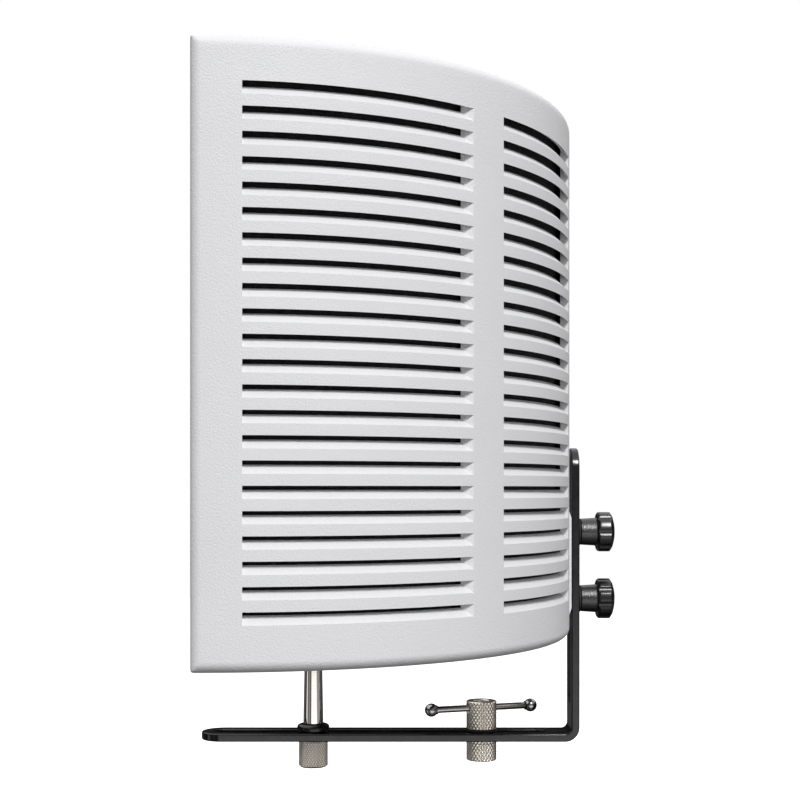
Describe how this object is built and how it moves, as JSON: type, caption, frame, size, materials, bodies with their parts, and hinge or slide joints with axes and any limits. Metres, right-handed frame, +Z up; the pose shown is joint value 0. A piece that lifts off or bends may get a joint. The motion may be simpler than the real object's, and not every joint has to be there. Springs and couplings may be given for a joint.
{
  "type": "microphone isolation shield",
  "caption": "Half-round louvred isolation shield with inner foam, on a slotted L-bracket with thumb knobs, a microphone post and a stand clamp.",
  "frame": {"origin": "on the stand thread's axis, at the adapter's bottom face", "axes": "+Z up along the stand, -Y towards the singer on the panel's open concave side, +X across the panel's width"},
  "size_m": [0.4126, 0.2605, 0.3993],
  "materials": {
    "white_plastic": "fine moulded grain",
    "black_fleece": "felted",
    "charcoal_foam": "open cell foam",
    "black_rubber": "matte",
    "black_paint": "satin",
    "knob_plastic": "moulded, half gloss",
    "zinc_steel": "zinc plated",
    "polished_steel": "polished",
    "chrome": "polished",
    "nickel": "knurled, nickel plated",
    "brass": "machined"
  },
  "bodies": {
    "adapter_body": {"stand_adapter": "nickel"},
    "swivel_body": {"clamp_washer": "black_rubber"},
    "bracket_body": {"bracket": "black_paint"},
    "panel_body": {"rear_shell": "white_plastic", "upper_insert": "brass", "lower_insert": "brass", "rear_fleece_right": "black_fleece", "rear_fleece_left": "black_fleece", "spacer_batten_1": "black_rubber", "spacer_batten_2": "black_rubber", "spacer_batten_3": "black_rubber", "spacer_batten_4": "black_rubber", "spacer_batten_5": "black_rubber", "inner_foam": "charcoal_foam"},
    "upper_knob_body": {"upper_knob": "knob_plastic", "upper_knob_stud": "zinc_steel", "upper_knob_washer": "black_rubber"},
    "lower_knob_body": {"lower_knob": "knob_plastic", "lower_knob_stud": "zinc_steel", "lower_knob_washer": "black_rubber"},
    "post_body": {"mic_post": "chrome", "post_collar": "black_paint", "post_thread_sleeve": "brass"},
    "post_nut_body": {"post_nut": "nickel"},
    "clamp_nut_body": {"clamp_nut": "nickel"},
    "tommy_body": {"tommy_bar": "polished_steel", "tommy_ball_front": "polished_steel", "tommy_ball_rear": "polished_steel"}
  },
  "joints": [
    {"name": "bracket_swivel", "type": "hinge", "parent": "adapter_body", "child": "swivel_body", "pos_m": [0, 0, 0], "axis": [0, 0, 1], "continuous": true},
    {"name": "bracket_slide", "type": "slide", "parent": "swivel_body", "child": "bracket_body", "axis": [0, 1, 0], "range_m": [0, 0.03]},
    {"name": "panel_height", "type": "slide", "parent": "bracket_body", "child": "panel_body", "axis": [0, 0, 1], "range_m": [-0.04, 0.038]},
    {"name": "upper_knob_turn", "type": "hinge", "parent": "panel_body", "child": "upper_knob_body", "pos_m": [0, 0.0605, 0.144], "axis": [0, 1, 0], "range_deg": [0, 270]},
    {"name": "lower_knob_turn", "type": "hinge", "parent": "panel_body", "child": "lower_knob_body", "pos_m": [0, 0.0605, 0.1019], "axis": [0, 1, 0], "range_deg": [0, 270]},
    {"name": "post_slide", "type": "slide", "parent": "bracket_body", "child": "post_body", "axis": [0, 1, 0], "range_m": [-0.055, 0.014]},
    {"name": "post_nut_turn", "type": "hinge", "parent": "post_body", "child": "post_nut_body", "pos_m": [0, -0.1063, 0], "axis": [0, 0, -1], "range_deg": [0, 270]},
    {"name": "clamp_nut_turn", "type": "hinge", "parent": "adapter_body", "child": "clamp_nut_body", "pos_m": [0, 0, 0], "axis": [0, 0, 1], "range_deg": [0, 270]},
    {"name": "tommy_bar_slide", "type": "slide", "parent": "clamp_nut_body", "child": "tommy_body", "axis": [0.3223, -0.9466, 0], "range_m": [-0.015, 0.015]}
  ]
}
